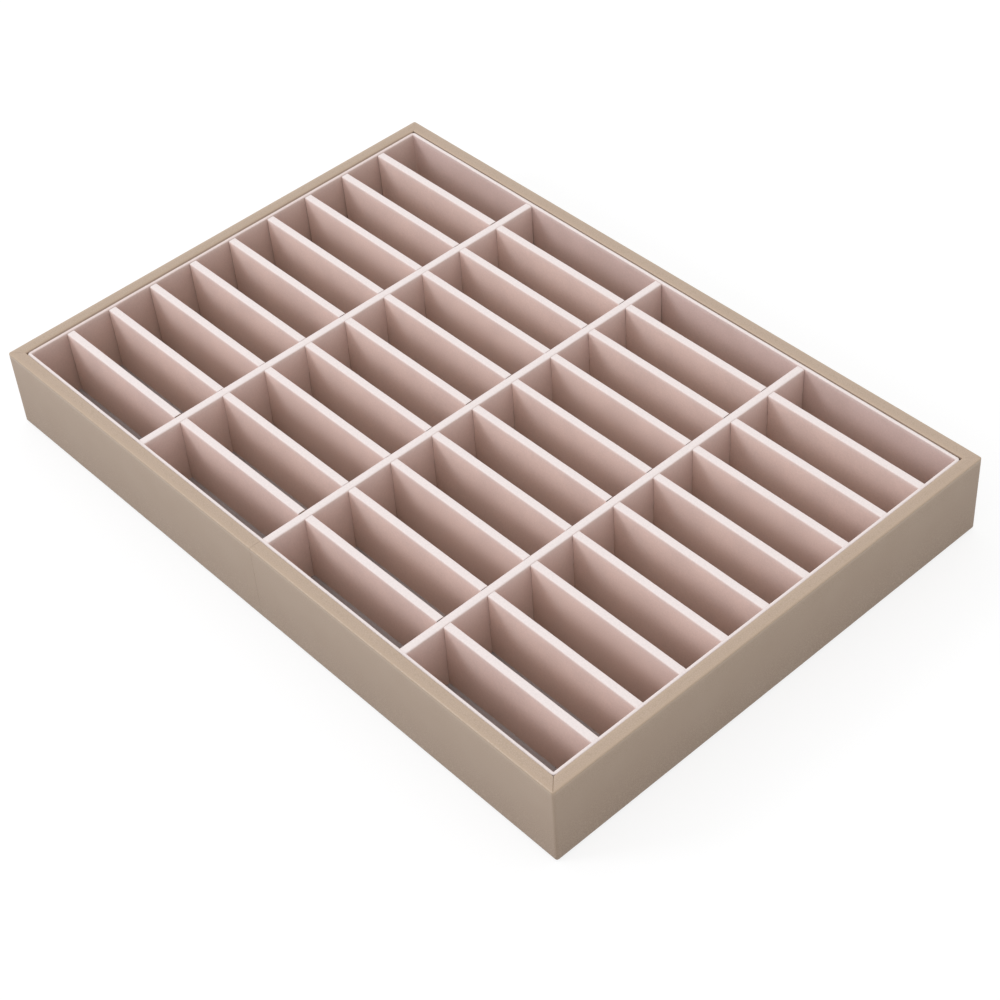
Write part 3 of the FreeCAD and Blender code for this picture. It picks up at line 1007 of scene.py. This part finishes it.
def seen_directly(tree):
    """One for rays from the camera, and for those that gloss or glass sends on; else nought."""
    path = add_node(tree, "ShaderNodeLightPath")
    total = path.outputs["Is Camera Ray"]
    for ray in ("Is Glossy Ray", "Is Transmission Ray"):
        either = add_node(tree, "ShaderNodeMath", {0: total, 1: path.outputs[ray]}, operation="MAXIMUM")
        total = either.outputs[0]
    return total


def painted_floor(settings):
    """A sprayed studio floor, pale and matt, that takes the tray's shadow and is lifted to white."""
    material, tree = new_material("studio_floor_painted")
    lift = add_node(
        tree, "ShaderNodeMath", {0: seen_directly(tree), 1: settings.floor_lift}, operation="MULTIPLY"
    )
    shader = add_node(
        tree,
        "ShaderNodeBsdfPrincipled",
        {
            "Base Color": settings.floor,
            "Roughness": 1.0,
            "Specular IOR Level": 0.0,
            "Emission Color": WHITE,
            "Emission Strength": lift.outputs[0],
        },
    )
    add_node(tree, "ShaderNodeOutputMaterial", {"Surface": shader.outputs["BSDF"]})
    return material


class TRAY_OT_stage(bpy.types.Operator):
    """Set up the floor, the lights and the camera"""

    bl_idname = "tray.stage"
    bl_label = "Stage"

    def execute(self, context):
        settings = context.scene.tray_stage
        scene = context.scene
        disc = bmesh.new()
        bmesh.ops.create_circle(disc, cap_ends=True, segments=FLOOR_SEGMENTS, radius=settings.floor_radius)
        mesh = bpy.data.meshes.new("studio_floor")
        disc.to_mesh(mesh)
        disc.free()
        mesh.materials.append(painted_floor(settings))
        floor = bpy.data.objects.new("studio_floor", mesh)
        context.collection.objects.link(floor)

        world = bpy.data.worlds.new("studio")
        world.use_nodes = True
        tree = world.node_tree
        tree.nodes.clear()
        strength = add_node(
            tree,
            "ShaderNodeMapRange",
            {"Value": seen_directly(tree), "To Min": settings.fill, "To Max": 1.0},
        )
        light = add_node(
            tree, "ShaderNodeBackground", {"Color": WHITE, "Strength": strength.outputs["Result"]}
        )
        add_node(tree, "ShaderNodeOutputWorld", {"Surface": light.outputs["Background"]})
        scene.world = world
        key = direction(settings.key_azimuth, settings.key_elevation) * settings.key_distance
        soft_box("soft_box_left", key, settings.key_side, settings.key_power, settings.key_tint)

        back = direction(settings.azimuth, settings.elevation)
        right = Vector((math.cos(settings.azimuth), math.sin(settings.azimuth), 0))
        tilt = Matrix.Rotation(settings.roll, 3, back)
        axes = Matrix((tilt @ right, tilt @ back.cross(right), back)).transposed()
        camera = bpy.data.cameras.new("camera")
        camera.lens = settings.lens
        stand = bpy.data.objects.new("camera", camera)
        target = Vector((settings.target_x, settings.target_y, 0))
        place = target + back * settings.distance
        stand.matrix_world = Matrix.LocRotScale(place, axes.to_quaternion(), None)
        context.collection.objects.link(stand)
        scene.camera = stand
        scene.view_settings.view_transform = "Standard"
        return {"FINISHED"}


# Add-on

SETTINGS = {
    "tray_wrap": TrayWrapSettings,
    "tray_velvet": TrayVelvetSettings,
    "tray_boards": TrayBoardSettings,
    "tray_stage": TrayStageSettings,
}
OPERATORS = (
    TRAY_OT_outer_wrap,
    TRAY_OT_base_felt,
    TRAY_OT_floor_velvet,
    TRAY_OT_wall_liners,
    TRAY_OT_cross_dividers,
    TRAY_OT_long_dividers,
    TRAY_OT_boards,
    TRAY_OT_stage,
)


class TRAY_PT_pieces(bpy.types.Panel):
    """Lists the tray's pieces and their settings"""

    bl_label = "Jewelry tray"
    bl_idname = "TRAY_PT_pieces"
    bl_space_type = "VIEW_3D"
    bl_region_type = "UI"
    bl_category = "Tray"

    def draw(self, context):
        for operator in OPERATORS:
            self.layout.operator(operator.bl_idname)
        for name, group in SETTINGS.items():
            box = self.layout.box()
            box.label(text=group.__doc__)
            for prop in group.__annotations__:
                box.prop(getattr(context.scene, name), prop)


def register():
    """Register the classes, and put the settings on the scene."""
    for cls in (*SETTINGS.values(), *OPERATORS, TRAY_PT_pieces):
        bpy.utils.register_class(cls)
    for name, group in SETTINGS.items():
        setattr(bpy.types.Scene, name, PointerProperty(type=group))


def unregister():
    """Undo register."""
    for name in SETTINGS:
        delattr(bpy.types.Scene, name)
    for cls in (TRAY_PT_pieces, *reversed(OPERATORS), *reversed(SETTINGS.values())):
        bpy.utils.unregister_class(cls)


def main():
    """Register the add-on, and make every piece."""
    register()
    for operator in OPERATORS:
        getattr(bpy.ops.tray, operator.bl_idname.split(".")[1])()


if __name__ == "__main__":
    main()
